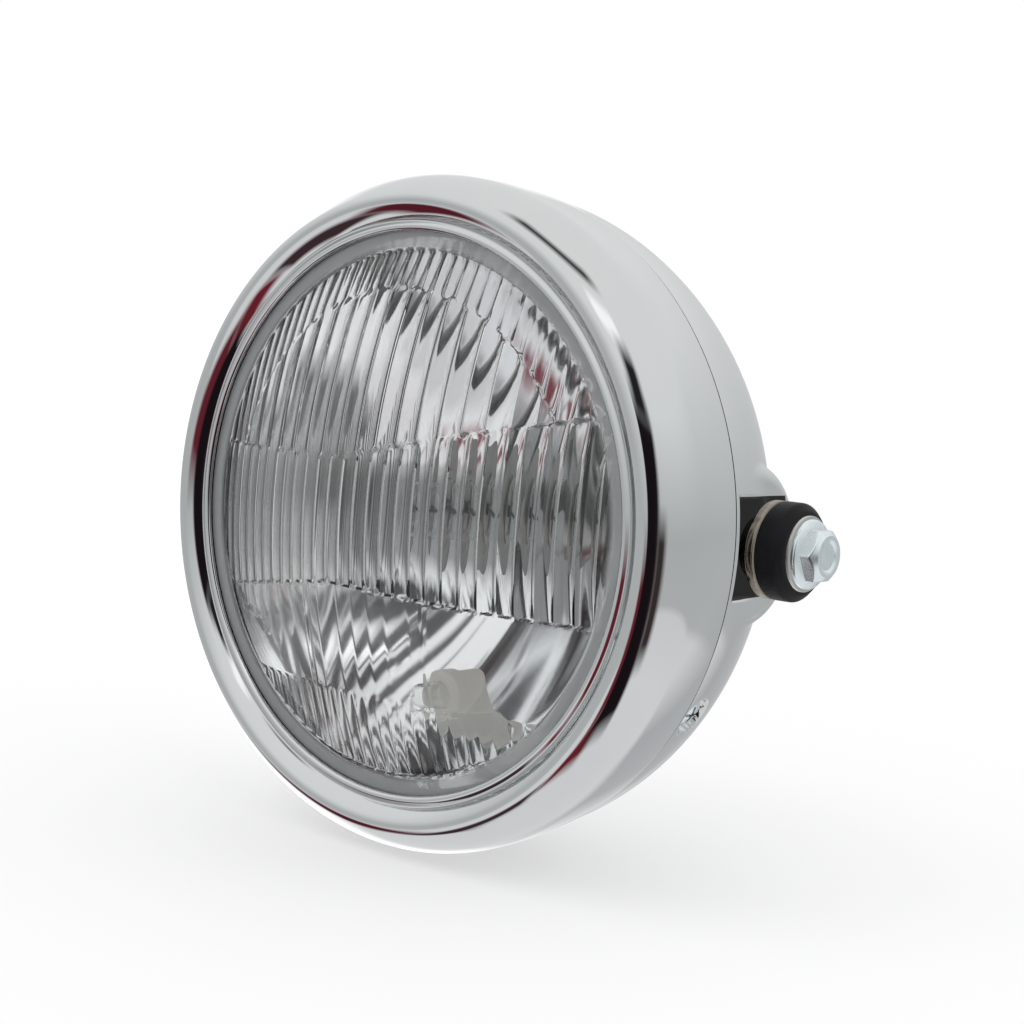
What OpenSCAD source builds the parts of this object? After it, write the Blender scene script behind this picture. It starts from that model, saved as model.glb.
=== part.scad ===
// Round motorcycle headlight: chromed bucket and rim, domed prism glass, side mounting bolts.
// X runs along the two side bolts, the glass faces -Y and +Z is up.
// The origin is the middle of the bolt axis, halfway between the two mounts.
// Sections along the lamp's own axis are drawn as [radius, depth], with depth 0 at the rim's front ring.

/* [Lamp] */
// Distance from the front ring back to the bolt axis
pivot_depth = 48; // [44:0.5:56]
// Largest radius of the rim
rim_r = 102.2; // [98:0.2:110]
// Width of the rim's face, from its largest radius in to the free glass
rim_face_w = 18.4; // [18:0.1:22]
// Sheet thickness of the rim
rim_wall = 1; // [0.8:0.1:1.2]
// Depth at which the rim ends and the bucket begins
seam_depth = 30.8; // [29:0.2:31.2]
// Step that shows as the line between the rim and the bucket
seam_gap = 0.4; // [0.3:0.1:0.8]

/* [Bucket] */
// Sheet thickness of the bucket
shell_wall = 1.2; // [0.9:0.1:1.6]
// How far the bucket is set in from the rim's largest radius
shell_inset = 1.8; // [1.6:0.1:4]
// Length of the bucket's bowl behind the rim
bowl_length = 78; // [72:1:100]
// Length of the neck that slips inside the rim
neck_length = 12; // [9:0.5:12.5]
// Clearance between the neck and the rim
neck_clearance = 0.5; // [0.3:0.1:1]
// Radius of the flat that closes the bowl at the back
rear_flat_r = 20; // [17:0.5:26]

/* [Side mounts] */
// How far each flat mounting face lies inside the bucket's radius
boss_inset = 3.9; // [2.9:0.1:4.9]
// Radius of the raised mounting boss
boss_r = 24; // [20:0.5:26]
// Radius of the boss's rounded shoulder
boss_round = 5; // [3:0.5:6]
// Side of the square pocket that clears the collar
pocket_size = 28.8; // [28.4:0.2:34]
// Distance from the bucket's front shoulder to the pocket's front wall, inside the sheet
pocket_setback = 1.6; // [1:0.1:3]
// Radius of the rubber bush
bush_r = 14; // [12:0.25:14]
// Length of the rubber bush
bush_length = 8.6; // [6:0.2:14]
// Chamfer on the outer edge of the bush
bush_chamfer = 2.2; // [1:0.1:3]
// Thickness of the collar's flange
collar_flange = 2.6; // [2:0.1:4]
// Gap between the boss face and the collar's flange
collar_standoff = 5.4; // [4:0.1:8]
// Outside radius of the collar's sleeve
sleeve_r = 8; // [7.5:0.1:9]
// Diameter of the mounting bolt's thread
bolt_d = 10; // [8:1:10]
// Width of the bolt's hexagon across its flats
bolt_af = 14; // [13:0.5:16]
// Radius of the flange under the bolt's head
bolt_flange_r = 9.8; // [9:0.1:10.5]
// Height of the bolt's head with its flange
bolt_head = 6.6; // [6:0.1:10]
// Thickness of the washer under the bolt's head
washer_t = 0.9; // [0.6:0.1:2]
// Height of the nut welded inside the boss
nut_h = 8; // [6:0.5:10]

/* [Glass] */
// Radius of the lens dome
dome_r = 180; // [165:1:220]
// Width of the glass's flat border that shows inside the rim's lip
border_show = 4.8; // [3.8:0.1:6.8]
// Glass thickness
glass = 4.2; // [3.4:0.1:5]
// How far the glass border reaches under the rim's lip
border_lap = 4.4; // [3.2:0.1:4.8]
// Length of the skirt that is bonded to the reflector
skirt = 3.6; // [2.5:0.1:5]
// Radius of the arc between the top prisms and the broad ones
arc_r = 66; // [60:0.5:70]
// Height of the cut-off line over the lens axis
cutoff_z = 15.5; // [10:0.5:20]
// Sideways place of the kink in the cut-off line
cutoff_x = -14; // [-20:1:0]
// Slope of the raised side of the cut-off line
cutoff_slope = 12; // [8:0.5:15]
// Height of the lower edge of the middle prisms, below the axis
lower_z = 21; // [18:0.5:26]
// Height of the upper edge of the bottom prisms, below the axis
bottom_z = 54; // [48:0.5:60]
// Pitch of the broad prisms
broad_pitch = 7.5; // [6:0.25:9]
// Height of the broad prisms
broad_rib = 0.9; // [0.7:0.1:1.2]
// Pitch of the fine prisms at the top
top_pitch = 4.5; // [4:0.25:6]
// Height of the fine prisms at the top
top_rib = 0.5; // [0.3:0.1:0.7]
// Pitch of the middle prisms
middle_pitch = 5.6; // [4:0.2:7]
// Height of the middle prisms
middle_rib = 1; // [0.6:0.1:1.2]
// Pitch of the clear window's wide ribs
window_pitch = 15; // [12:0.5:20]
// Height of the clear window's wide ribs
window_rib = 0.3; // [0.2:0.1:0.7]
// Pitch of the bottom prisms
bottom_pitch = 5; // [4:0.25:6]
// Height of the bottom prisms
bottom_rib = 0.6; // [0.3:0.1:0.8]

/* [Reflector] */
// Focal length of the reflector's parabola
focal = 32; // [29:0.5:34]
// Width of the reflector's front flange
reflector_flange = 5.7; // [5.2:0.1:8]
// Sheet thickness of the reflector
bowl_wall = 1; // [0.8:0.1:1.4]
// Radius of the bulb's hole
bulb_hole_r = 21; // [18:0.5:22]
// Distance of the position lamp below the axis
position_z = 57; // [52:0.5:60]
// Radius of the position lamp's holder
position_r = 8; // [6.5:0.25:9]
// How far the position lamp's holder and its bulb stand out in front of the reflector
holder_reach = 12; // [10:0.5:14]
position_reach = 24; // [22:0.5:26]
// Length of the holder behind the reflector
holder_tail = 14; // [12:0.5:18]
// Thickness of the sealing ring between rim and glass
seal_t = 0.45; // [0.3:0.05:0.8]

/* [Bulb] */
// Radius of the main bulb's glass
bulb_r = 8.5; // [7:0.25:9]
// Length of the main bulb in front of its seat
bulb_length = 42; // [38:0.5:46]
// Radius of the bulb's seating flange
bulb_flange_r = 20; // [18.5:0.25:20.5]
// Radius of the base behind the flange
bulb_base_r = 11.5; // [10:0.25:13]
// Length of the base behind the flange
bulb_base_length = 14; // [12:0.5:18]
// Length of the rubber boot behind the reflector
boot_length = 19; // [17:0.5:24]

/* [Fixings] */
// Angle of the two rim screws below the bolt axis
screw_angle = 30; // [28:1:50]
// Thread diameter of the rim screws
screw_d = 5; // [4:0.5:6]
// Radius of the rim screw's head
screw_head_r = 4.4; // [4:0.1:5]
// Height of the rim screw's head
screw_head_h = 2.4; // [1.8:0.1:3]
// Depth of each screw dimple's middle behind the seam
dimple_back = 8; // [7.5:0.25:12]
// Step of the retaining ring over the reflector's flange
ring_rise = 1.5; // [1:0.1:1.6]
// Radius of the cable hole at the back
cable_hole_r = 11; // [8:0.5:13]

/* [Hidden] */
$fn = 96;
fine = 180;
small = 0.05;
slip = 0.2;

// Points along an arc, from one angle to the other, as [radius, depth]
function arc(c, r, from, to, steps) =
    [for (i = [0:steps]) let (a = from + (to - from) * i / steps) [c[0] + r * cos(a), c[1] + r * sin(a)]];
function reversed(p) = [for (i = [len(p) - 1:-1:0]) p[i]];
function polar(r, a) = [r * cos(a), r * sin(a)];

// Rim section: flank, shoulder, bead, straight wall, valley, ring and lip, each tangent to the next
flank_big = 130;
widest_depth = 12;
shoulder_big = 17.9;
shoulder_end = -52;
bead_big = 4;
bead_end = -132;
wall_run = 3.994;
valley_big = 0.6;
valley_end = 120;
lip_big = 1.4;
aperture_r = rim_r - rim_face_w;
flank_c = [rim_r - flank_big, widest_depth];
shoulder_c = [rim_r - shoulder_big, widest_depth];
bead_c = shoulder_c + polar(shoulder_big - bead_big, shoulder_end);
valley_c = bead_c + polar(bead_big + valley_big, bead_end) + polar(wall_run, bead_end - 90);
valley_start = bead_end + 180;
ring_normal = valley_end - 180;
ring_start = valley_c + polar(valley_big, valley_end);
lip_c_r = aperture_r + lip_big;
ring_run = (ring_start[0] - lip_c_r - lip_big * cos(ring_normal)) / sin(valley_end);
lip_c = [lip_c_r, ring_start[1] + ring_run * cos(valley_end) - lip_big * sin(ring_normal)];
flank_back = asin((seam_depth - widest_depth) / flank_big);
lip_foot = valley_c[1] + valley_big + rim_wall;

// The rim's face moved inwards by t
function rim_face(t) = concat(
    arc(flank_c, flank_big - t, flank_back, 0, 12),
    arc(shoulder_c, shoulder_big - t, -5, shoulder_end, 14),
    arc(bead_c, bead_big - t, shoulder_end - 8, bead_end, 10),
    arc(valley_c, valley_big + t, valley_start, valley_end, 5),
    arc(lip_c, lip_big - t, ring_normal, -180, 6));
shell_r = rim_r - shell_inset;
neck_r = min(flank_c[0] + (flank_big - rim_wall) * cos(flank_back), shell_r) - neck_clearance;
neck_front = seam_depth - neck_length;
function rim_inside(d) = flank_c[0] + sqrt(pow(flank_big - rim_wall, 2) - pow(d - widest_depth, 2));
// Height of a flat strip of width w that touches a round wall of radius r with its two edges
function flat_inside(r, w) = sqrt(r * r - w * w / 4) - small;

// Glass and light unit
border_r = aperture_r + border_lap;
dome_edge_r = aperture_r - border_show;
bowl_r = border_r - reflector_flange;
seal_front = lip_foot;
glass_front = seal_front + seal_t;
glass_back = glass_front + glass;
dome_c = glass_front + sqrt(dome_r * dome_r - dome_edge_r * dome_edge_r);
inner_dome_r = dome_r - glass;
clear_r = dome_edge_r - 2;
skirt_wall = 4;
skirt_back = glass_back + skirt;
bond_t = 0.6;
flange_front = skirt_back + bond_t;
bowl_apex = flange_front + bowl_r * bowl_r / (4 * focal);
function bowl_depth(r) = bowl_apex - r * r / (4 * focal);
seat_depth = bowl_depth(bulb_hole_r) + bowl_wall;
seat_t = 1.6;
seat_r = bulb_hole_r + 9;
seat_lip_r = bulb_flange_r + slip;
bulb_flange_t = 1.2;
flange_back_d = seat_depth + seat_t + bulb_flange_t;
base_back = flange_back_d + bulb_base_length;
glass_back_d = seat_depth - bulb_length / 10;
position_seat = bowl_depth(position_z);
position_bulb_r = position_r - 3.4;
position_socket = position_seat - 0.62 * holder_reach;
boot_wall = 1.8;

// Bucket
bowl_front = seam_depth + seam_gap;
function bowl_at(d) = shell_r * sqrt(1 - pow((d - bowl_front) / bowl_length, 2));
rear_flat_depth = bowl_front + bowl_length * sqrt(1 - pow(rear_flat_r / shell_r, 2));
pocket_front = bowl_front + shell_wall + pocket_setback;
dimple_depth = seam_depth + dimple_back;
dimple_sink = 2.75;
dimple_floor = neck_r - dimple_sink;
dimple_r = screw_head_r + 1.6;

// Side mount stations, measured outwards along X
boss_face = shell_r - boss_inset;
boss_root = bowl_at(pivot_depth + boss_r) - boss_r;
flange_in = boss_face + collar_standoff;
bush_in = flange_in + collar_flange;
bush_out = bush_in + bush_length;
washer_out = bush_out + washer_t;
bolt_end = washer_out + bolt_head;
nut_af = 15;

steel = [0.78, 0.79, 0.8];
chrome = [0.86, 0.87, 0.88];
rubber = [0.09, 0.09, 0.1];

// Puts a section drawn as [radius, depth] round the lamp's axis
module on_lamp_axis() {
    translate([0, -pivot_depth, 0]) rotate([-90, 0, 0]) children();
}
module revolve() {
    on_lamp_axis() rotate_extrude($fn = fine) children();
}
// A plain ring from one radius and depth to another
module ring(r_in, r_out, front, back) {
    revolve() translate([r_in, front]) square([r_out - r_in, back - front]);
}
// Draws in one side's mount frame: local Z runs outwards along the bolt axis
module side(s) {
    rotate([0, 90 * s, 0]) children();
}
// Repeats a child round the lamp's axis; an angle of 0 is the +X side and 90 is the top
module around(angles) {
    for (a = angles) rotate([0, -a, 0]) children();
}

module rim() {
    color(chrome) revolve() polygon(concat(
        rim_face(0), [[aperture_r, lip_foot], [aperture_r + rim_wall, lip_foot]], reversed(rim_face(rim_wall))));
}

// Strip bent over the front edge of the bucket's neck, at the top
hook_t = 1;
hook_w = 16;
module rim_hook() {
    back = neck_front - slip;
    outer = flat_inside(rim_inside(back), hook_w);
    under = flat_inside(neck_r - shell_wall, hook_w);
    foot = 2.2;
    tongue = 8;
    color(steel) around([90]) translate([0, -pivot_depth, 0])
        translate([0, 0, -hook_w / 2]) linear_extrude(hook_w) polygon([
            [outer, back - foot], [outer, back], [under, back], [under, back + tongue],
            [under - hook_t, back + tongue], [under - hook_t, back - hook_t], [outer - hook_t, back - hook_t],
            [outer - hook_t, back - foot]]);
}

// Bent lugs that carry the rim screws, fixed inside the rim in front of the neck
lug_t = 2;
lug_w = 14;
module rim_lugs() {
    back = neck_front - slip;
    outer = flat_inside(rim_inside(back), lug_w);
    top = dimple_floor - shell_wall;
    foot = 2 * lug_t;
    tail = dimple_r;
    color(steel) around([-screw_angle, 180 + screw_angle]) difference() {
        translate([0, -pivot_depth, -lug_w / 2]) linear_extrude(lug_w) polygon([
            [outer, back - foot], [outer, back], [top, back], [top, dimple_depth + tail],
            [top - lug_t, dimple_depth + tail], [top - lug_t, back - lug_t], [outer - lug_t, back - lug_t],
            [outer - lug_t, back - foot]]);
        translate([top - lug_t - 1, dimple_depth - pivot_depth, 0]) rotate([0, 90, 0])
            cylinder(r = screw_d / 2 + small, h = lug_t + 2);
    }
}

// Pan-head screws with a cross slot
module rim_screws() {
    slot_w = 1;
    slot_l = 1.24 * screw_head_r;
    slot_depth = screw_head_h / 2;
    crown = 2 * screw_head_r;
    shank = 1.8 * screw_d;
    color(steel) around([-screw_angle, 180 + screw_angle])
        translate([dimple_floor, dimple_depth - pivot_depth, 0]) rotate([0, 90, 0]) difference() {
            union() {
                rotate_extrude() intersection() {
                    square([screw_head_r, screw_head_h]);
                    translate([0, screw_head_h - crown]) circle(crown);
                }
                translate([0, 0, -shank]) cylinder(r = screw_d / 2, h = shank + small);
            }
            for (a = [0, 90]) rotate([0, 0, a])
                translate([-slot_l / 2, -slot_w / 2, screw_head_h - slot_depth])
                    cube([slot_l, slot_w, 2 * slot_depth]);
        }
}

module rim_seal() {
    color(rubber) ring(aperture_r + slip, border_r, seal_front, glass_front);
}

// Outline of the glass in front of and behind the cut-off line, as seen from the front
span = 120;
module above_cutoff() {
    rise = (span - cutoff_x) * tan(cutoff_slope);
    polygon([[-span, span], [-span, cutoff_z], [cutoff_x, cutoff_z], [span, cutoff_z + rise], [span, span]]);
}
module below_middle() {
    polygon([[-span, -span], [span, -span], [span, -lower_z - 5], [cutoff_x, -lower_z], [-span, -lower_z - 15]]);
}
module bottom_part() {
    translate([-span, -span]) square([2 * span, span - bottom_z]);
}
// A slab of the given outline, reaching from in front of the dome to behind the skirt
module outline_slab() {
    translate([0, skirt_back + 2 - pivot_depth, 0]) rotate([90, 0, 0]) linear_extrude(60) children();
}
// Hollow behind the dome with upright prism ribs, revolved about a line through the dome's centre.
// Each rib is a round bar: neighbours meet in a sharp valley, and h is the height of a rib.
sweep = 62;
module ribbed_hollow(pitch, h) {
    rib_r = (pitch * pitch / 4 + h * h) / (2 * h);
    path_r = inner_dome_r + rib_r - h;
    count = ceil(clear_r / pitch);
    depth = 36;
    translate([0, dome_c - pivot_depth, 0]) rotate([0, 90, 0]) rotate([0, 0, -90 - sweep / 2])
        rotate_extrude(angle = sweep, $fn = fine) difference() {
            intersection() {
                circle(inner_dome_r + 0.25 * h, $fn = fine);
                translate([inner_dome_r - depth, -clear_r - 1]) square([depth + 5, 2 * clear_r + 2]);
            }
            for (i = [-count:count]) translate([sqrt(path_r * path_r - pow(i * pitch, 2)), i * pitch])
                circle(rib_r, $fn = 64);
        }
}
module zone(pitch, h) {
    intersection() {
        ribbed_hollow(pitch, h);
        outline_slab() intersection() {
            circle(clear_r, $fn = fine);
            children();
        }
    }
}

// Pressed glass with a smooth dome outside and five fields of upright prisms inside
module lens() {
    color([0.85, 0.9, 0.92, 0.5]) difference() {
        revolve() {
            intersection() {
                translate([0, dome_c]) circle(dome_r, $fn = fine);
                translate([0, dome_c - dome_r - 1]) square([dome_edge_r, glass_back - dome_c + dome_r + 1]);
            }
            translate([dome_edge_r - 1, glass_front]) square([border_r - dome_edge_r + 1, glass]);
            translate([border_r - skirt_wall, glass_front]) square([skirt_wall, skirt_back - glass_front]);
        }
        zone(top_pitch, top_rib) difference() {
            above_cutoff();
            circle(arc_r, $fn = fine);
        }
        zone(broad_pitch, broad_rib) intersection() {
            above_cutoff();
            circle(arc_r, $fn = fine);
        }
        zone(middle_pitch, middle_rib) difference() {
            square(2 * span, center = true);
            above_cutoff();
            below_middle();
        }
        zone(window_pitch, window_rib) difference() {
            below_middle();
            bottom_part();
        }
        zone(bottom_pitch, bottom_rib) bottom_part();
    }
}

module lens_bond() {
    color(rubber) ring(border_r - skirt_wall + 2 * slip, border_r - 2 * slip, skirt_back, flange_front);
}

// Pressed parabolic bowl with a front flange, a bulb hole and a position lamp hole
module reflector() {
    steps = 26;
    curve = [for (i = [0:steps]) let (r = bowl_r + (bulb_hole_r - bowl_r) * i / steps) [r, bowl_depth(r)]];
    outside = [for (p = curve) let (a = atan(p[0] / (2 * focal))) p + polar(bowl_wall, 90 - a)];
    color([0.8, 0.81, 0.83]) difference() {
        revolve() polygon(concat(
            [[border_r, flange_front]], curve, [[bulb_hole_r, outside[steps][1]]], reversed(outside),
            [[bowl_r + bowl_wall, flange_front + bowl_wall], [border_r, flange_front + bowl_wall]]));
        translate([0, position_seat - pivot_depth + holder_tail, -position_z]) rotate([90, 0, 0])
            cylinder(r = position_r - 1 + small, h = 2 * holder_tail);
    }
}

// Stepped ring that presses the light unit's flange against the rim
ring_t = 1.2;
ring_front = flange_front + bowl_wall;
ring_step = ring_front + ring_rise;
ring_back = ring_step + ring_t;
ring_outer = rim_inside(ring_back) - slip;
module retaining_ring() {
    inner = border_r - reflector_flange / 2;
    step_r = border_r + ring_t;
    color(steel) revolve() polygon([
        [inner, ring_front], [step_r, ring_front], [step_r, ring_step], [ring_outer, ring_step],
        [ring_outer, ring_back], [border_r, ring_back], [border_r, ring_front + ring_t],
        [inner, ring_front + ring_t]]);
}

// Bent spring strips wedged between the retaining ring and the rim
spring_w = 9;
spring_t = 0.8;
module ring_springs() {
    top = flat_inside(rim_inside(ring_back + spring_t), spring_w);
    inner = border_r + 3;
    foot = (top - inner) / 3;
    crest = top - foot / 2;
    rise = 1.8;
    color(steel) around([45, 135, 225, 315]) translate([0, -pivot_depth, -spring_w / 2])
        linear_extrude(spring_w) polygon([
            [inner, ring_back], [inner + foot, ring_back], [crest, ring_back + rise], [top, ring_back + slip],
            [top, ring_back + slip + spring_t], [crest, ring_back + rise + spring_t],
            [inner + foot, ring_back + spring_t], [inner, ring_back + spring_t]]);
}

// Riveted seat with a raised lip that centres the bulb's flange
module bulb_seat() {
    color(steel) union() {
        ring(bulb_hole_r - 6.5, seat_r, seat_depth, seat_depth + seat_t);
        ring(seat_lip_r, seat_lip_r + 1.4, seat_depth + seat_t - small, flange_back_d + 1);
    }
}

// Clear envelope, hollow, with a domed tip
module bulb_glass() {
    wall = 0.9;
    tip = seat_depth - bulb_length;
    back = glass_back_d;
    color([0.85, 0.9, 0.95, 0.5]) revolve() difference() {
        intersection() {
            union() {
                translate([0, tip + bulb_r]) square([bulb_r, back - tip - bulb_r]);
                translate([0, tip + bulb_r]) circle(bulb_r);
            }
            translate([0, tip - 1]) square([bulb_r + 1, bulb_length + 1]);
        }
        translate([-1, tip + bulb_r]) square([bulb_r - wall + 1, back - tip]);
        translate([0, tip + bulb_r]) circle(bulb_r - wall);
    }
}

// Two filament coils, their lead wires and the dip shield on a glass pinch
module bulb_filaments() {
    pinch = [0.8 * bulb_r, 0.38 * bulb_r, bulb_length / 5];
    pinch_front = glass_back_d - pinch[2];
    lead_x = 0.3 * bulb_r;
    wire_r = 0.06 * bulb_r;
    coil_r = 0.11 * bulb_r;
    coil_l = 1.5 * lead_x;
    dip = bowl_apex - focal - lead_x;
    main_beam = bowl_apex - focal + lead_x;
    color(steel) union() {
        on_lamp_axis() translate([-pinch[0] / 2, -pinch[1] / 2, pinch_front]) cube(pinch);
        for (x = [-lead_x, lead_x]) on_lamp_axis() translate([x, 0, dip - coil_l])
            cylinder(r = wire_r, h = pinch_front - dip + coil_l + small);
        for (d = [dip, main_beam]) translate([-lead_x, d - pivot_depth, 0]) rotate([0, 90, 0])
            cylinder(r = wire_r, h = 2 * lead_x);
        for (d = [dip, main_beam]) translate([-coil_l / 2, d - pivot_depth, 0]) rotate([0, 90, 0])
            cylinder(r = coil_r, h = coil_l);
    }
}

// Metal base: front collar that grips the glass, seating flange and rear barrel
module bulb_base() {
    flange_front_d = seat_depth + seat_t;
    collar_front = glass_back_d - bulb_length / 10;
    collar_t = 2.4;
    color(steel) revolve() difference() {
        union() {
            translate([0, collar_front]) square([bulb_r + collar_t, flange_front_d + small - collar_front]);
            translate([0, flange_front_d]) square([bulb_flange_r, bulb_flange_t]);
            translate([0, flange_back_d - small]) square([bulb_base_r, base_back - flange_back_d + small]);
        }
        translate([-1, collar_front - 1]) square([bulb_r + 1 + small, glass_back_d - collar_front + 1]);
    }
}

module bulb_terminals() {
    blade_w = 7.8;
    blade_t = 0.9;
    blade_l = 8;
    out = bulb_base_r - 5;
    color([0.8, 0.72, 0.5]) on_lamp_axis() translate([0, 0, base_back]) {
        translate([-blade_w / 2, -out - blade_t / 2, 0]) cube([blade_w, blade_t, blade_l]);
        for (s = [-1, 1]) translate([s * out - blade_t / 2, -blade_w / 2, 0]) cube([blade_t, blade_w, blade_l]);
    }
}

// Wire spring that holds the bulb's flange down: two part rings joined by straight legs
module bulb_spring() {
    wire_r = 0.8;
    path_r = bulb_flange_r - 3;
    open_angle = 50;
    color(steel) on_lamp_axis() translate([0, 0, flange_back_d + wire_r]) {
        rotate([0, 0, open_angle / 2 - 90]) rotate_extrude(angle = 360 - open_angle)
            translate([path_r, 0]) circle(wire_r, $fn = 24);
        for (s = [-1, 1]) rotate([0, 0, -90 + s * open_angle / 2]) translate([path_r, 0, 0])
            rotate([0, 90, 0]) cylinder(r = wire_r, h = seat_lip_r - path_r - slip, $fn = 24);
    }
}

// Ribbed rubber boot over the seat and the bulb's base
module dust_boot() {
    front = seat_depth + seat_t + small;
    back = front + boot_length;
    wide = seat_r;
    skirt_r = wide - boot_wall;
    narrow = bulb_base_r + 2 * small;
    ledge = front + 0.45 * boot_length;
    rib = boot_length / 10;
    color(rubber) revolve() difference() {
        polygon([
            [wide, front], [wide, front + boot_wall], [skirt_r, front + 2 * boot_wall], [skirt_r, ledge],
            [narrow + 3 * boot_wall, ledge + boot_wall], [narrow + boot_wall, back], [narrow, back],
            [narrow, back - 2 * boot_wall], [narrow + boot_wall, ledge + boot_wall / 2],
            [skirt_r - boot_wall, ledge - boot_wall], [skirt_r - boot_wall, front]]);
        for (d = [ledge - 2 * rib, ledge - rib]) translate([skirt_r, d]) circle(rib / 4, $fn = 24);
    }
}

// Small wedge-base lamp below the main bulb
module position_bulb() {
    r = position_bulb_r;
    front = position_seat - position_reach;
    color([0.9, 0.93, 0.95, 0.6]) translate([0, 0, -position_z]) revolve() {
        intersection() {
            translate([0, front + r]) circle(r);
            translate([0, front - 1]) square([r, 2 * r]);
        }
        translate([0, front + r]) square([r, position_socket - front - r]);
    }
}

module position_holder() {
    front = position_seat - holder_reach;
    collar_back = bowl_depth(position_z + position_r) - slip;
    back = position_seat + holder_tail;
    color([0.93, 0.92, 0.87]) translate([0, 0, -position_z]) revolve() difference() {
        union() {
            translate([0, front]) square([position_r - 1, back - front]);
            translate([0, front]) square([position_r, collar_back - front]);
            translate([0, back - holder_tail / 4]) square([position_r + 1, holder_tail / 4]);
        }
        translate([-1, front - 1]) square([position_bulb_r + 1 + small, position_socket - front + 1]);
    }
}

// Bucket shape moved inwards by t: 0 gives the outer skin and the wall gives the hollow
module bowl_form(t) {
    steps = 28;
    lip = t > 0 ? -5 : 0;
    flat = rear_flat_depth - t;
    first = asin(rear_flat_r / shell_r);
    curve = [for (i = [0:steps]) let (a = 90 + (first - 90) * i / steps)
        [(shell_r - t) * sin(a), bowl_front + (bowl_length - t) * cos(a)]];
    revolve() intersection() {
        polygon(concat([[0, neck_front + lip], [neck_r - t, neck_front + lip],
            [neck_r - t, bowl_front + t]], curve, [[0, curve[steps][1]]]));
        translate([0, neck_front - 10]) square([shell_r + 10, flat - neck_front + 10]);
    }
}
module boss_form(t) {
    side_profile = concat(
        [[0, boss_face - t]],
        arc([boss_r - boss_round, boss_face - boss_round], boss_round - t, 90, 0, 8),
        [[boss_r - t, boss_root], [0, boss_root]]);
    for (s = [-1, 1]) side(s) rotate_extrude($fn = fine) polygon(side_profile);
}
module pocket_form(t) {
    w = pocket_size + 2 * t;
    for (s = [-1, 1]) side(s) translate([-w / 2, pocket_front - t - pivot_depth, boss_face - t])
        cube([w, pivot_depth - pocket_front + t + boss_r, 40]);
}
module dimple_form(t) {
    around([-screw_angle, 180 + screw_angle]) translate([dimple_floor - t, dimple_depth - pivot_depth, 0])
        rotate([0, 90, 0]) cylinder(r = dimple_r + t, h = 30);
}
module shell_form(t) {
    difference() {
        bowl_form(t);
        pocket_form(t);
        dimple_form(t);
    }
    intersection() {
        boss_form(t);
        translate([0, span / 2 + pocket_front - t - pivot_depth, 0])
            cube([3 * shell_r, span, 4 * boss_r], center = true);
    }
}

module shell() {
    color(chrome) difference() {
        union() {
            shell_form(0);
        }
        shell_form(shell_wall);
        for (s = [-1, 1]) side(s) cylinder(r = bolt_d / 2 + slip, h = boss_face + 5);
        around([-screw_angle, 180 + screw_angle]) translate([dimple_floor - 5, dimple_depth - pivot_depth, 0])
            rotate([0, 90, 0]) cylinder(r = screw_d / 2 + slip, h = 10);
        on_lamp_axis() translate([0, 0, rear_flat_depth - 10]) cylinder(r = cable_hole_r, h = 20);
    }
}

// Rubber ring that grips the edge of the cable hole
grommet_lip = 3;
grommet_front = 2.2;
grommet_back = 2.6;
module cable_grommet() {
    lip_r = cable_hole_r + grommet_lip;
    bore_r = cable_hole_r - grommet_lip;
    inside = rear_flat_depth - shell_wall;
    front = inside - grommet_front;
    back = rear_flat_depth + grommet_back;
    middle = rear_flat_depth + grommet_back / 2;
    groove_r = cable_hole_r - small;
    color(rubber) revolve() polygon([
        [bore_r, front], [lip_r, front], [lip_r, inside], [groove_r, inside], [groove_r, rear_flat_depth],
        [lip_r, rear_flat_depth], [lip_r, middle], [lip_r - grommet_lip / 2, back], [bore_r, back]]);
}

module boss_nut(s) {
    color(steel) side(s) difference() {
        translate([0, 0, boss_face - shell_wall - nut_h]) cylinder(r = nut_af / sqrt(3), h = nut_h, $fn = 6);
        translate([0, 0, boss_face - shell_wall - nut_h - 1]) cylinder(r = bolt_d / 2 + small, h = nut_h + 2);
    }
}
module boss_nut_left() { boss_nut(-1); }
module boss_nut_right() { boss_nut(1); }

// Stepped steel collar: its foot stands on the boss, its flange backs the bush and its sleeve lines it
module mount_collar(s) {
    foot_r = sleeve_r + 1;
    edge = 0.5;
    color(steel) side(s) difference() {
        union() {
            translate([0, 0, boss_face]) cylinder(r = foot_r, h = collar_standoff + small);
            translate([0, 0, flange_in]) rotate_extrude() polygon([
                [0, 0], [bush_r - edge, 0], [bush_r, edge], [bush_r, collar_flange - edge],
                [bush_r - edge, collar_flange], [0, collar_flange]]);
            translate([0, 0, bush_in - small]) cylinder(r = sleeve_r, h = bush_length + small);
        }
        translate([0, 0, boss_face - 1]) cylinder(r = bolt_d / 2 + slip, h = bush_out - boss_face + 2);
    }
}
module mount_collar_left() { mount_collar(-1); }
module mount_collar_right() { mount_collar(1); }

module mount_bush(s) {
    round_in = 0.8;
    color(rubber) side(s) difference() {
        translate([0, 0, bush_in]) rotate_extrude() polygon([
            [0, 0], [bush_r - round_in, 0], [bush_r, round_in], [bush_r, bush_length - bush_chamfer],
            [bush_r - bush_chamfer, bush_length], [0, bush_length]]);
        translate([0, 0, bush_in - 1]) cylinder(r = sleeve_r, h = bush_length + 2);
    }
}
module mount_bush_left() { mount_bush(-1); }
module mount_bush_right() { mount_bush(1); }

module mount_washer(s) {
    color(steel) side(s) difference() {
        translate([0, 0, bush_out]) cylinder(r = bolt_flange_r + 0.9, h = washer_t);
        translate([0, 0, bush_out - 1]) cylinder(r = bolt_d / 2 + slip, h = washer_t + 2);
    }
}
module mount_washer_left() { mount_washer(-1); }
module mount_washer_right() { mount_washer(1); }

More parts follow.
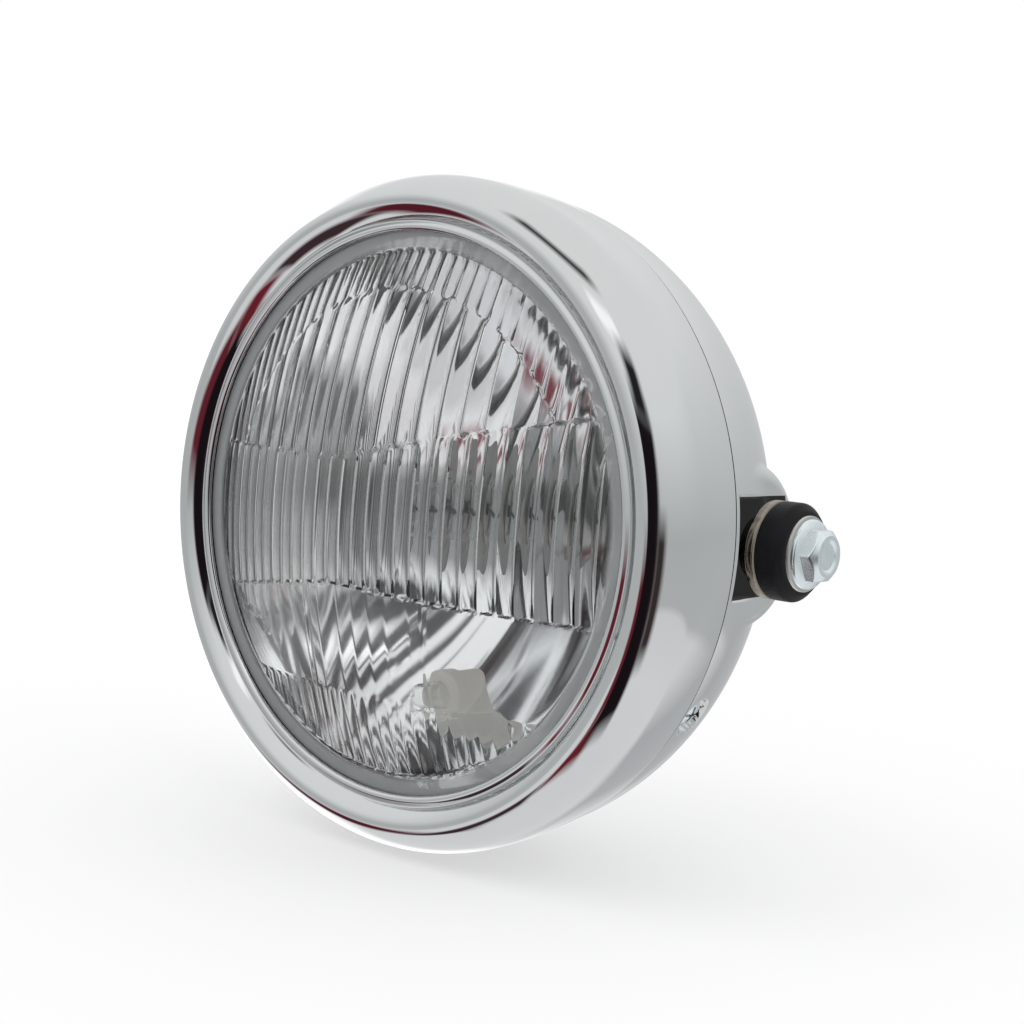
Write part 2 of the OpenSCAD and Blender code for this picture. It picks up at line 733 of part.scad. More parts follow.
// Hexagon bolt with a coned flange, a chamfered head and a dished end
module mount_bolt(s) {
    flange_t = 1.2;
    cone_t = 1;
    corner_r = bolt_af / sqrt(3);
    length = washer_out - boss_face + shell_wall + nut_h;
    color([0.74, 0.79, 0.83]) side(s) difference() {
        union() {
            translate([0, 0, washer_out - length]) cylinder(r = bolt_d / 2, h = length + small);
            translate([0, 0, washer_out]) rotate_extrude() polygon([
                [0, 0], [bolt_flange_r, 0], [bolt_flange_r, flange_t],
                [corner_r - 0.3, flange_t + cone_t], [0, flange_t + cone_t]]);
            intersection() {
                translate([0, 0, washer_out]) cylinder(r = corner_r, h = bolt_head, $fn = 6);
                translate([0, 0, washer_out]) rotate_extrude() polygon([
                    [0, 0], [corner_r + 1, 0], [corner_r + 1, bolt_head - 2.2], [bolt_af / 2 - 0.9, bolt_head],
                    [0, bolt_head]]);
            }
        }
        translate([0, 0, bolt_end - 0.7]) rotate_extrude() polygon([
            [0, 0], [bolt_af / 2 - 3, 0], [bolt_af / 2 - 2, 1], [0, 1]]);
    }
}
module mount_bolt_left() { mount_bolt(-1); }
module mount_bolt_right() { mount_bolt(1); }

rim();
rim_hook();
rim_lugs();
rim_screws();
rim_seal();
lens();
lens_bond();
reflector();
retaining_ring();
ring_springs();
bulb_seat();
bulb_glass();
bulb_filaments();
bulb_base();
bulb_terminals();
bulb_spring();
dust_boot();
position_bulb();
position_holder();
shell();
cable_grommet();
boss_nut_left();
boss_nut_right();
mount_collar_left();
mount_collar_right();
mount_bush_left();
mount_bush_right();
mount_washer_left();
mount_washer_right();
mount_bolt_left();
mount_bolt_right();
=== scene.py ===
"""Looks of the round motorcycle headlight: chrome, prism glass, reflector, rubber and zinc, with its studio."""

import math

import bmesh
import bpy
import numpy as np
from mathutils import Matrix, Vector


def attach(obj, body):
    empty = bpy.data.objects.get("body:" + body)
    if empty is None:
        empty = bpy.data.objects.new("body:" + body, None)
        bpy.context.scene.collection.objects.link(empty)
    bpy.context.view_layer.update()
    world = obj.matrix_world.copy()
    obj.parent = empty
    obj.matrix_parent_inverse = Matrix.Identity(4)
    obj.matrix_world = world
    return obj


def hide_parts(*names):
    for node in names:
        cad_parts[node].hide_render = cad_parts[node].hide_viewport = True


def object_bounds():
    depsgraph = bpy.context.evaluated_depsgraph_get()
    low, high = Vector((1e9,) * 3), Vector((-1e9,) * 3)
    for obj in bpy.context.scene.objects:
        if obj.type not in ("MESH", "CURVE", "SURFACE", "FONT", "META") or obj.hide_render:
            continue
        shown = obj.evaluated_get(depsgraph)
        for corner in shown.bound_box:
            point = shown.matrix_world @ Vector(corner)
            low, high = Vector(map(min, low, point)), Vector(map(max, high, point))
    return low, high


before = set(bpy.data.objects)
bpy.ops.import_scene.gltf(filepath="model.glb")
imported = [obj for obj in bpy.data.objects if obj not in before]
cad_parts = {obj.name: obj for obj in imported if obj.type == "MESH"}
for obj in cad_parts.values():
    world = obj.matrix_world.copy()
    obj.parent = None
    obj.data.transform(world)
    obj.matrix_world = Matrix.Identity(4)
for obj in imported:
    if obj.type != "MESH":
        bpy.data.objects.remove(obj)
cad_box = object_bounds()

MM = 0.001

# Driving sizes in millimetres, the same as in the part's source
PIVOT = 48.0
RIM_R = 102.2
APERTURE_R = 83.8
RIM_WALL = 1.0
SEAM_DEPTH = 30.8
SEAM_GAP = 0.4
SHELL_WALL = 1.2
SHELL_R = 100.4
BOWL_LENGTH = 78.0
NECK_LENGTH = 12.0
NECK_CLEARANCE = 0.5
REAR_FLAT_R = 20.0
BOSS_FACE = 96.5
BOSS_R = 24.0
BOSS_ROUND = 5.0
POCKET_SIZE = 28.8
POCKET_SETBACK = 1.6
BUSH_R = 14.0
BUSH_LENGTH = 8.6
BUSH_CHAMFER = 2.2
COLLAR_FLANGE = 2.6
COLLAR_STANDOFF = 5.4
SLEEVE_R = 8.0
BOLT_AF = 14.0
BOLT_FLANGE_R = 9.8
BOLT_HEAD = 6.6
WASHER_T = 0.9
DOME_R = 180.0
DOME_EDGE_R = 79.0
GLASS = 4.2
BORDER_R = 88.2
SKIRT = 3.6
ARC_R = 66.0
CUTOFF_Z = 15.5
CUTOFF_X = -14.0
CUTOFF_SLOPE = math.tan(math.radians(12.0))
LOWER_Z = 21.0
BOTTOM_Z = 54.0
FOCAL = 32.0
BOWL_R = 82.5
BULB_HOLE_R = 21.0
POSITION_Z = 57.0
POSITION_R = 8.0
SEAL_T = 0.45
SCREW_ANGLE = math.radians(30.0)
SCREW_HEAD_R = 4.4
DIMPLE_BACK = 8.0
DIMPLE_SINK = 2.75
CABLE_HOLE_R = 11.0
GROMMET_LIP = 3.0
GROMMET_FRONT = 2.2
GROMMET_BACK = 2.6
POSITION_BULB_R = 4.6
POSITION_BULB_WALL = 0.55
POSITION_REACH = 24.0
HOLDER_REACH = 12.0
HOLDER_TAIL = 14.0
BOLT_HOLE_R = 5.2
BOLT_SHANK_R = 5.0
BOLT_END = 80.0
COLLAR_FOOT = 1.0
WASHER_MARGIN = 0.9
DIMPLE_MARGIN = 1.6
INNER_MARGIN = 0.9

# Roundings, edges and margins of the dressed surfaces
LIP_EDGE = 0.15
SHELL_ROUND = 0.35
PRESS_EDGE = 0.3
BOSS_SIDE = 60.0
BOSS_ZONE = 14.0
BOSS_START = 1.5
BOSS_FILLET = 1.6
BOSS_WALL_SLOPE = 5.0
DIMPLE_EDGE = 0.35
PRISM_EDGE = 0.25
SKIRT_T = 4.0
GLASS_CHAMFER = 0.5
HOLDER_BORE_R = 4.75
HOLDER_BORE_DEPTH = 4.6
HOLDER_STEP = 5.2
HOLDER_FOOT = 4.0
BUSH_EDGE = 0.8
FLANGE_EDGE = 1.2
FLANGE_TOP = 2.2
HEAD_CHAMFER = 2.2
HEAD_CHAMFER_IN = 1.1
GROMMET_EDGE = 1.4

# Dish in the bolt's head: how far in from the flats, and how deep
HEAD_DISH = ((1.9, 0.0), (2.6, 0.15), (3.2, 0.65))
HEAD_DISH_DEPTH = 0.7

# How far the lower window's edge falls away from the glass's middle line, over this distance to either side
WINDOW_FALL_LEFT = 15.0
WINDOW_FALL_RIGHT = 5.0
WINDOW_SPAN = 120.0

# Pitch and height of the prisms in the five fields of the glass
EDGE_RIBS = (4.5, 0.5)
BROAD_RIBS = (7.5, 0.9)
MIDDLE_RIBS = (5.6, 1.0)
WINDOW_RIBS = (15.0, 0.12)
BOTTOM_RIBS = (5.0, 0.16)

# Things in the room: the span round the lamp from its front and the height over the horizon, each as low end,
# high end and soft edge in degrees, then the colour, and how far chrome and glass show it
ROOM = (
    # White card on the left
    ((-142, -96, 4), (-42, 31, 5), (1.5, 1.5, 1.5), 1.0, 1.0),
    # Grey wall ahead
    ((-50, 44, 6), (-18, 26, 5), (0.19, 0.19, 0.195), 0.0, 0.85),
    # Dark ceiling
    ((-24, 33, 5), (32, 66, 3), (0.030, 0.032, 0.036), 0.0, 1.0),
    # Lit window under it
    ((18, 46, 3), (46, 57, 3), (1.4, 1.4, 1.4), 1.0, 1.0),
    # Wine-red patch ahead
    ((-30, -8, 4), (-38, -21, 4), (0.20, 0.022, 0.036), 0.0, 1.0),
    # Dark beam overhead
    ((-46, 44, 10), (66, 73, 3), (0.05, 0.05, 0.052), 1.0, 0.0),
    # Dark low edge on the left
    ((-62, -8, 5), (-68, -44, 4), (0.06, 0.032, 0.038), 1.0, 0.3),
    # Wine-red patch on the left
    ((-80, -46, 4), (-46, -26, 4), (0.12, 0.016, 0.028), 1.0, 0.2),
    # Wine-red ground ahead
    ((-6, 34, 5), (-62, -40, 5), (0.19, 0.020, 0.034), 1.0, 0.15),
    # Wine-red edge of the dark stand
    ((5, 34, 5), (-44, -6, 6), (0.16, 0.022, 0.036), 1.0, 0.15),
    # Dark stand on the right
    ((27, 57, 3), (-54, 30, 6), (0.012, 0.008, 0.010), 1.0, 0.9),
    # Top of the stand
    ((36, 54, 4), (25, 46, 5), (0.02, 0.02, 0.02), 1.0, 0.9),
    # Shaded side of the stand
    ((55, 70, 4), (-35, 2, 5), (0.05, 0.035, 0.036), 1.0, 0.9),
    # Grey ground behind
    ((166, 205, 8), (-46, -8, 8), (0.56, 0.57, 0.58), 1.0, 0.0),
    ((-205, -154, 8), (-46, -8, 8), (0.56, 0.57, 0.58), 1.0, 0.0),
)


def polar(radius, degrees):
    """Point at a radius and an angle, as [radius, depth]."""
    a = math.radians(degrees)
    return np.array([radius * math.cos(a), radius * math.sin(a)])


def arc(centre, radius, start, stop, steps):
    """Points along an arc from one angle to the other, in degrees."""
    a = np.radians(np.linspace(start, stop, steps + 1))
    return np.stack([centre[0] + radius * np.cos(a), centre[1] + radius * np.sin(a)], axis=1)


# Rim section: flank, shoulder, bead, nearly flat wall, valley, ring and lip, each arc tangent to the next
FLANK_BIG = 130.0
WIDEST_DEPTH = 12.0
SHOULDER_BIG = 17.9
SHOULDER_END = -52.0
BEAD_BIG = 4.0
BEAD_END = -118.0
WALL_BIG = 11.232
WALL_END = -142.935
VALLEY_BIG = 0.6
VALLEY_END = 120.0
LIP_BIG = 1.4
flank_c = np.array([RIM_R - FLANK_BIG, WIDEST_DEPTH])
shoulder_c = np.array([RIM_R - SHOULDER_BIG, WIDEST_DEPTH])
bead_c = shoulder_c + polar(SHOULDER_BIG - BEAD_BIG, SHOULDER_END)
wall_c = bead_c + polar(BEAD_BIG - WALL_BIG, BEAD_END)
valley_c = wall_c + polar(WALL_BIG + VALLEY_BIG, WALL_END)
ring_start = valley_c + polar(VALLEY_BIG, VALLEY_END)
ring_normal = VALLEY_END - 180.0
lip_c_r = APERTURE_R + LIP_BIG
ring_run = (ring_start[0] - lip_c_r - polar(LIP_BIG, ring_normal)[0]) / math.sin(math.radians(VALLEY_END))
lip_c = np.array([lip_c_r, ring_start[1] + ring_run * math.cos(math.radians(VALLEY_END))
                  - polar(LIP_BIG, ring_normal)[1]])
flank_back = math.degrees(math.asin((SEAM_DEPTH - WIDEST_DEPTH) / FLANK_BIG))
lip_foot = valley_c[1] + VALLEY_BIG + RIM_WALL

# Stations that follow from those sizes
glass_front = lip_foot + SEAL_T
glass_back = glass_front + GLASS
dome_c = glass_front + math.sqrt(DOME_R ** 2 - DOME_EDGE_R ** 2)
inner_dome_r = DOME_R - GLASS
clear_r = DOME_EDGE_R - INNER_MARGIN
skirt_back = glass_back + SKIRT
flange_front = skirt_back + 0.6
bowl_apex = flange_front + BOWL_R ** 2 / (4 * FOCAL)
neck_r = min(flank_c[0] + (FLANK_BIG - RIM_WALL) * math.cos(math.radians(flank_back)), SHELL_R) - NECK_CLEARANCE
neck_front = SEAM_DEPTH - NECK_LENGTH
bowl_front = SEAM_DEPTH + SEAM_GAP
rear_flat_depth = bowl_front + BOWL_LENGTH * math.sqrt(1 - (REAR_FLAT_R / SHELL_R) ** 2)
pocket_front = bowl_front + SHELL_WALL + POCKET_SETBACK
dimple_depth = SEAM_DEPTH + DIMPLE_BACK
dimple_floor = neck_r - DIMPLE_SINK
dimple_r = SCREW_HEAD_R + DIMPLE_MARGIN
flange_in = BOSS_FACE + COLLAR_STANDOFF
bush_in = flange_in + COLLAR_FLANGE
bush_out = bush_in + BUSH_LENGTH
washer_out = bush_out + WASHER_T


def grid_faces(nu, nv, wrap_u, wrap_v):
    """Quads of a grid of points, joined round in either direction when that direction wraps."""
    u = np.arange(nu if wrap_u else nu - 1)
    v = np.arange(nv if wrap_v else nv - 1)
    uu, vv = np.meshgrid(u, v, indexing="ij")
    u1, v1 = (uu + 1) % nu, (vv + 1) % nv
    return np.stack([uu * nv + vv, u1 * nv + vv, u1 * nv + v1, uu * nv + v1], axis=-1).reshape(-1, 4)


def make_piece(name, parts, sharp_degrees=None):
    """One mesh object from (points, faces) parts in millimetres, welded where they meet, facing outwards."""
    points = np.concatenate([p.reshape(-1, 3) for p, _ in parts]) * MM
    starts = np.cumsum([0] + [p.reshape(-1, 3).shape[0] for p, _ in parts[:-1]])
    faces = np.concatenate([f + s for (_, f), s in zip(parts, starts)])
    mesh = bpy.data.meshes.new(name)
    mesh.from_pydata(points, [], faces.tolist())
    weld = bmesh.new()
    weld.from_mesh(mesh)
    bmesh.ops.remove_doubles(weld, verts=weld.verts, dist=2e-7)
    bmesh.ops.dissolve_degenerate(weld, edges=weld.edges, dist=1e-8)
    bmesh.ops.recalc_face_normals(weld, faces=weld.faces)
    weld.to_mesh(mesh)
    weld.free()
    mesh.polygons.foreach_set("use_smooth", np.ones(len(mesh.polygons), dtype=bool))
    if sharp_degrees is not None:
        mesh.set_sharp_from_angle(angle=math.radians(sharp_degrees))
    piece = bpy.data.objects.new(name, mesh)
    bpy.context.scene.collection.objects.link(piece)
    return piece


def on_lamp_axis(section, angles, below=0.0):
    """Points of a section of [radius, depth] turned round the lamp's axis, or round one that far below it."""
    r, d = section[None, :, 0], section[None, :, 1]
    c, s = np.cos(angles)[:, None], np.sin(angles)[:, None]
    return np.stack([r * c, np.broadcast_to(d - PIVOT, (len(angles), len(section))), r * s - below], axis=-1)


def on_bolt_axis(section, angles, side):
    """Points of a section of [radius, distance outwards] turned round the bolt axis, on one side."""
    r, h = section[None, :, 0], section[None, :, 1]
    c, s = np.cos(angles)[:, None], np.sin(angles)[:, None]
    return np.stack([np.broadcast_to(side * h, (len(angles), len(section))), r * c, r * s], axis=-1)


def full_turn(steps):
    """Equal angles once round, without the repeated last one."""
    return np.linspace(0, 2 * np.pi, steps, endpoint=False)


def turned(name, section, steps, place, sharp_degrees=None):
    """A closed section turned once round by the given placing function."""
    angles = full_turn(steps)
    return make_piece(name, [(place(section, angles), grid_faces(steps, len(section), True, True))], sharp_degrees)


def smooth_step(x, edge, half_width):
    """0 below an edge and 1 above it, with a smooth ramp of twice the half width."""
    t = np.clip((x - edge) / (2 * half_width) + 0.5, 0, 1)
    return t * t * (3 - 2 * t)


def soft_max(a, b, radius):
    """The larger of two heights, with a fillet of about the given radius where they cross."""
    h = np.clip(radius - np.abs(a - b), 0, None)
    return np.maximum(a, b) + h * h / (4 * radius)


def soft_min(a, b, radius):
    """The smaller of two heights, with a fillet where they cross."""
    return -soft_max(-a, -b, radius)


def rounded(corners, radius, steps=4):
    """A closed section with each corner rounded by a quarter-turn-like curve of the given radius."""
    corners = np.asarray(corners, float)
    out = []
    for i, p in enumerate(corners):
        before, after = corners[i - 1] - p, corners[(i + 1) % len(corners)] - p
        reach = min(radius, 0.49 * np.linalg.norm(before), 0.49 * np.linalg.norm(after))
        a = p + before / np.linalg.norm(before) * reach
        b = p + after / np.linalg.norm(after) * reach
        t = np.linspace(0, 1, steps + 1)[:, None]
        out.append((1 - t) ** 2 * a + 2 * t * (1 - t) * p + t * t * b)
    return np.concatenate(out)


class Wire:
    """A socket of a node tree: arithmetic on it adds Math nodes."""

    def __init__(self, tree, socket):
        self.tree = tree
        self.socket = socket

    def math(self, operation, *values):
        node = self.tree.nodes.new("ShaderNodeMath")
        node.operation = operation
        for slot, value in zip(node.inputs, values):
            if isinstance(value, Wire):
                self.tree.links.new(value.socket, slot)
            else:
                slot.default_value = value
        return Wire(self.tree, node.outputs[0])

    def __add__(self, other): return self.math("ADD", self, other)
    def __radd__(self, other): return self.math("ADD", other, self)
    def __sub__(self, other): return self.math("SUBTRACT", self, other)
    def __rsub__(self, other): return self.math("SUBTRACT", other, self)
    def __mul__(self, other): return self.math("MULTIPLY", self, other)
    def __rmul__(self, other): return self.math("MULTIPLY", other, self)
    def __pow__(self, other): return self.math("POWER", self, other)
    def __abs__(self): return self.math("ABSOLUTE", self)
    def above(self, edge): return self.math("GREATER_THAN", self, edge)
    def clamped(self): return self.math("MINIMUM", self.math("MAXIMUM", self, 0.0), 1.0)

    def band(self, low, high, soft):
        """1 between two values, fading to 0 over a soft edge on either side."""
        return self.ramp(low - soft, low + soft) * (1.0 - self.ramp(high - soft, high + soft))

    def ramp(self, low, high):
        """0 at the low value, 1 at the high one, straight between and flat outside."""
        return ((self - low) * (1.0 / (high - low))).clamped()


class Finish:
    """One node tree for a material or the world, with a single method that makes nodes."""

    def __init__(self, owner):
        owner.use_nodes = True
        self.tree = owner.node_tree
        self.tree.nodes.clear()

    def node(self, kind, settings=None, stops=None, **sockets):
        node = self.tree.nodes.new("ShaderNode" + kind)
        for key, value in (settings or {}).items():
            setattr(node, key, value)
        if stops:
            band = node.color_ramp.elements
            for i, (place, colour) in enumerate(stops):
                stop = band[i] if i < 2 else band.new(place)
                stop.position = place
                stop.color = (*colour, 1.0)
        for key, value in sockets.items():
            slot = node.inputs[key.replace("_", " ")]
            if isinstance(value, Wire):
                self.tree.links.new(value.socket, slot)
            elif isinstance(value, (tuple, list)) and slot.type == "RGBA":
                slot.default_value = (*value, 1.0)[:4]
            else:
                slot.default_value = value
        return node

    def wire(self, node, name=0):
        return Wire(self.tree, node.outputs[name])

    def make(self, kind, settings=None, out=0, stops=None, **sockets):
        return self.wire(self.node(kind, settings, stops, **sockets), out)

    def coords(self):
        return self.make("TexCoord", out="Object")

    def noise(self, scale, detail=2.0, roughness=0.5, where=None):
        return self.make("TexNoise", out="Fac", Vector=where or self.coords(), Scale=scale, Detail=detail,
                         Roughness=roughness)

    def tint(self, factor, low, high):
        """A colour between two, by a factor."""
        node = self.node("Mix", {"data_type": "RGBA"})
        self.tree.links.new(factor.socket, node.inputs[0])
        node.inputs[6].default_value = (*low, 1.0)
        node.inputs[7].default_value = (*high, 1.0)
        return Wire(self.tree, node.outputs[2])

    def fade(self, factor, first, second):
        """A colour link fading to a fixed colour by a factor."""
        node = self.node("Mix", {"data_type": "RGBA"})
        self.tree.links.new(factor.socket, node.inputs[0])
        self.tree.links.new(first.socket, node.inputs[6])
        node.inputs[7].default_value = (*second, 1.0)
        return Wire(self.tree, node.outputs[2])

    def bump(self, height, strength, distance):
        return self.make("Bump", out="Normal", Height=height, Strength=strength, Distance=distance)

    def output(self, shader, kind="Material"):
        self.node("Output" + kind, Surface=shader)


def new_finish(name):
    material = bpy.data.materials.new(name)
    return material, Finish(material)


def chrome_finish(name, shade_places=None):
    """Polished chrome with faint haze, wiping marks and the waves of pressed sheet; places in the shade mask get
    painted shade, dark and rougher.
    """
    material, f = new_finish(name)
    haze = f.noise(28.0, 4.0, 0.6)
    wipe = f.noise(9.0, 3.0, 0.5, f.make("Mapping", Vector=f.coords(), Scale=(1.0, 1.0, 6.0)))
    waves = f.noise(14.0, 1.0, 0.4)
    colour = f.tint(haze, (0.60, 0.615, 0.62), (0.66, 0.67, 0.67))
    rough = 0.03 + haze * 0.035 + wipe.ramp(0.55, 0.8) * 0.05
    if shade_places:
        # Painted shade: the masked places are darkened to near black and made rougher
        dark = shade_places(f)
        colour = f.fade(dark, colour, (0.018, 0.017, 0.018))
        rough = rough + dark * 0.35
    f.output(f.make("BsdfPrincipled", Base_Color=colour, Metallic=1.0, Roughness=rough,
                    Normal=f.bump(waves, 0.12, 0.0006)))
    return material


def painted_shade_places(f):
    """1 on the bucket's neck and front edge and in its two square pockets: painted shade for the pockets and a
    painted shadow line behind the seam.
    """
    x, y, z = separate(f, f.coords())
    half = (POCKET_SIZE / 2 + 0.15) * MM
    square = (1.0 - abs(z).ramp(half - 0.1 * MM, half)) * y.ramp((pocket_front - PIVOT - 0.15) * MM,
                                                               (pocket_front - PIVOT - 0.05) * MM)
    # Painted shade in the two square pockets
    pocket = square * (1.0 - y.above(half)) * abs(x).above(0.8 * BOSS_FACE * MM) * (1.0 - abs(x).above(SHELL_R * MM))
    # Painted shadow line along the bucket's front edge behind the seam, and over the hidden neck
    seam = 1.0 - y.above((bowl_front - PIVOT + 0.8) * MM)
    return (pocket + seam).clamped()


def zinc_finish():
    """Bright zinc plate with a bluish passivation and the fine grain of a cold-headed bolt."""
    material, f = new_finish("blue_zinc")
    cloud = f.noise(260.0, 3.0, 0.6)
    grain = f.noise(2600.0, 3.0, 0.7)
    colour = f.tint(cloud, (0.62, 0.72, 0.77), (0.84, 0.88, 0.88))
    rough = 0.16 + cloud * 0.14 + grain * 0.06
    f.output(f.make("BsdfPrincipled", Base_Color=colour, Metallic=1.0, Roughness=rough,
                    Normal=f.bump(grain, 0.25, 0.00005)))
    return material


def steel_finish(name, low, high, rough_low):
    """Plain steel with rolling streaks and cloudy roughness."""
    material, f = new_finish(name)
    cloud = f.noise(90.0, 4.0, 0.6)
    streak = f.noise(60.0, 3.0, 0.5, f.make("Mapping", Vector=f.coords(), Scale=(1.0, 22.0, 1.0)))
    colour = f.tint(cloud * 0.6 + streak * 0.4, low, high)
    f.output(f.make("BsdfPrincipled", Base_Color=colour, Metallic=1.0, Roughness=rough_low + cloud * 0.2,
                    Normal=f.bump(streak, 0.15, 0.00008)))
    return material


def rubber_finish():
    """Moulded black rubber: matt, with a fine grain and a paler bloom in patches."""
    material, f = new_finish("black_rubber")
    bloom = f.noise(120.0, 4.0, 0.6)
    grain = f.noise(1800.0, 3.0, 0.7)
    colour = f.tint(bloom, (0.004, 0.004, 0.005), (0.012, 0.012, 0.014))
    f.output(f.make("BsdfPrincipled", Base_Color=colour, Roughness=0.42 + bloom * 0.2, Specular_IOR_Level=0.14,
                    Normal=f.bump(grain, 0.35, 0.00012)))
    return material


def lens_finish():
    """Clear pressed glass; the flat border behind the dome is satin, where it lies on its bond."""
    material, f = new_finish("pressed_glass")
    x, _, z = separate(f, f.coords())
    radius = (x * x + z * z) ** 0.5
    ripple = f.noise(35.0, 2.0, 0.5)
    clear = f.make("BsdfPrincipled", Base_Color=(0.985, 0.995, 0.995), Roughness=0.012, IOR=1.5,
                   Transmission_Weight=1.0, Normal=f.bump(ripple, 0.05, 0.0004))
    satin_tone = f.tint(f.noise(60.0, 3.0, 0.5), (0.40, 0.42, 0.43), (0.48, 0.495, 0.50))
    satin = f.make("BsdfPrincipled", Base_Color=satin_tone, Roughness=0.22, Specular_IOR_Level=0.6)
    border = radius.ramp((DOME_EDGE_R - 0.8) * MM, (DOME_EDGE_R + 1.2) * MM)
    f.output(mix(f, border * 0.5, clear, satin))
    return material


def mix(f, factor, first, second):
    """Mix of two shaders by a factor."""
    node = f.node("MixShader")
    f.tree.links.new(factor.socket, node.inputs[0])
    f.tree.links.new(first.socket, node.inputs[1])
    f.tree.links.new(second.socket, node.inputs[2])
    return Wire(f.tree, node.outputs[0])


def separate(f, vector):
    """The three numbers of a vector."""
    node = f.node("SeparateXYZ", Vector=vector)
    return [Wire(f.tree, out) for out in node.outputs]


def bulb_glass_finish():
    """Thin clear glass of a bulb, with a faint grey tint."""
    material, f = new_finish("bulb_glass_clear")
    tone = f.tint(f.noise(140.0, 2.0, 0.5), (0.93, 0.95, 0.95), (0.99, 0.99, 0.98))
    f.output(f.make("BsdfPrincipled", Base_Color=tone, Roughness=0.01, IOR=1.45, Transmission_Weight=1.0))
    return material


def reflector_finish():
    """Vacuum-coated aluminium over lacquer: a mirror with faint press rings and a soft haze."""
    material, f = new_finish("aluminised_bowl")
    haze = f.noise(40.0, 3.0, 0.6)
    waves = f.noise(22.0, 2.0, 0.5)
    colour = f.tint(haze, (0.84, 0.85, 0.86), (0.91, 0.915, 0.92))
    f.output(f.make("BsdfPrincipled", Base_Color=colour, Metallic=1.0, Roughness=0.03 + haze * 0.05,
                    Normal=f.bump(waves, 0.2, 0.0008)))
    return material


def holder_finish():
    """Cream-white moulded plastic with an uneven tone and a painted glow: a little emission stands in for the light
    the bowl gathers on it.
    """
    material, f = new_finish("cream_plastic")
    tone = f.tint(f.noise(160.0, 3.0, 0.5), (0.78, 0.76, 0.69), (0.88, 0.87, 0.82))
    f.output(f.make("BsdfPrincipled", Base_Color=tone, Roughness=0.38, Specular_IOR_Level=0.5,
                    # Painted light: the emission makes the holder glow, though it is no lamp
                    Emission_Color=tone, Emission_Strength=0.2, Normal=f.bump(f.noise(900.0), 0.15, 0.00006)))
    return material


def floor_finish():
    """Plain pale floor: white further out, with the lamp's soft shadow near it; metal and glass see the surround."""
    material, f = new_finish("pale_floor")
    tone = f.tint(f.noise(3.0, 2.0, 0.5), (0.90, 0.90, 0.90), (0.92, 0.92, 0.92))
    x, y, _ = separate(f, f.coords())
    away = ((x * x + y * y) ** 0.5).ramp(0.08, 0.42)
    matt = f.make("BsdfDiffuse", Color=tone)
    glow = f.make("Emission", Color=(1.0, 1.0, 1.0), Strength=1.0)
    rays = f.node("LightPath")
    near = mix(f, f.wire(rays, "Is Camera Ray") * (0.5 + away * 0.5), matt, glow)
    mirrored = (f.wire(rays, "Is Glossy Ray") + f.wire(rays, "Is Transmission Ray")).clamped()
    f.output(mix(f, mirrored, near, f.make("BsdfTransparent", Color=(1.0, 1.0, 1.0))))
    return material


CHROME = chrome_finish("polished_chrome")
# The bucket's chrome carries painted shade in its pockets and a painted shadow line behind its seam
SHELL_CHROME = chrome_finish("polished_chrome_bucket", painted_shade_places)
ZINC = zinc_finish()
STEEL = steel_finish("pressed_steel", (0.42, 0.42, 0.41), (0.62, 0.62, 0.60), 0.22)
COLLAR = steel_finish("yellow_tinged_steel", (0.10, 0.075, 0.045), (0.46, 0.42, 0.36), 0.12)
TUNGSTEN = steel_finish("dull_tungsten", (0.18, 0.18, 0.18), (0.30, 0.30, 0.30), 0.35)
BRASS = steel_finish("plain_brass", (0.62, 0.47, 0.20), (0.80, 0.65, 0.34), 0.2)
RUBBER = rubber_finish()
LENS_GLASS = lens_finish()
BULB_GLASS = bulb_glass_finish()
ALUMINISED = reflector_finish()
CREAM = holder_finish()


def dress(piece, material, slot, *nodes):
    """Gives a new piece its material and its body, and hides the CAD nodes that it stands for."""
    piece.data.materials.append(material)
    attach(piece, "root")
    if nodes:
        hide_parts(*nodes)
    return piece


def dress_nodes(material, *names):
    """Puts a material on CAD nodes that stay as they are."""
    for name in names:
        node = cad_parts[name]
        if not node.material_slots:
            node.data.materials.append(material)
        for slot in node.material_slots:
            slot.material = material


def rim_section():
    """Outer face from the seam over flank, bead, wall and valley to the lip, then back at one sheet's thickness."""
    def face(t):
        return np.concatenate([
            arc(flank_c, FLANK_BIG - t, flank_back, 0, 24)[:-1],
            arc(shoulder_c, SHOULDER_BIG - t, 0, SHOULDER_END, 30)[:-1],
            arc(bead_c, BEAD_BIG - t, SHOULDER_END, BEAD_END, 20)[:-1],
            arc(wall_c, WALL_BIG - t, BEAD_END, WALL_END, 14)[:-1],
            arc(valley_c, VALLEY_BIG + t, WALL_END + 180, VALLEY_END, 14),
            arc(lip_c, LIP_BIG - t, ring_normal, -180, 10)])
    hem = arc((face(0)[0] + face(RIM_WALL)[0]) / 2, RIM_WALL / 2, flank_back + 180, flank_back, 8)[1:-1]
    foot = [[APERTURE_R + LIP_EDGE, lip_foot], [APERTURE_R + RIM_WALL - LIP_EDGE, lip_foot]]
    return np.concatenate([face(0), foot, face(RIM_WALL)[::-1], hem])


def make_rim():
    dress(turned("chrome_rim", rim_section(), 320, on_lamp_axis), CHROME, "chrome", "rim")


